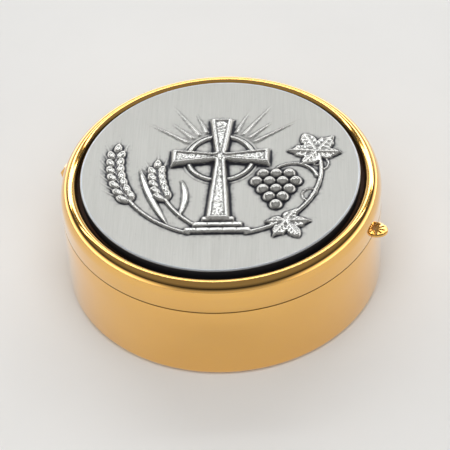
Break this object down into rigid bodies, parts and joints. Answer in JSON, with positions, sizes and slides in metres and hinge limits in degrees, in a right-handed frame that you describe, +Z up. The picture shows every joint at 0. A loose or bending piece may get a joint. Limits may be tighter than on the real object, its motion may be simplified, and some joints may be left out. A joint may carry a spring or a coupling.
{
  "type": "pyx",
  "caption": "Small round metal box with a hinged lid, a relief medallion let into the lid and a thumb tab, for carrying communion hosts.",
  "frame": {"origin": "centre of the flat underside of the base", "axes": "+Z up along the box's axis, +X towards the thumb tab, the hinge is at -X with its pin along Y"},
  "size_m": [0.0545, 0.051, 0.0203],
  "materials": {
    "gold_plate": "mirror polished gold plate on brass",
    "gold_plate_inner": "polished gold plate, inner ring",
    "pewter": "fine upright brushed satin pewter, dark antiquing in the recesses",
    "adhesive": "cured epoxy bonding layer"
  },
  "bodies": {
    "base": {"base_cup": "gold_plate", "collar": "gold_plate_inner", "hinge_base_leaf": "gold_plate", "hinge_pin": "gold_plate"},
    "lid": {"lid_shell": "gold_plate", "hinge_lid_leaf": "gold_plate", "thumb_tab": "gold_plate", "medallion_adhesive": "adhesive", "medallion": "pewter"}
  },
  "joints": [
    {"name": "lid_hinge", "type": "hinge", "parent": "base", "child": "lid", "pos_m": [-0.02625, 0, 0.0138], "axis": [0, -1, 0], "range_deg": [0, 110]}
  ]
}
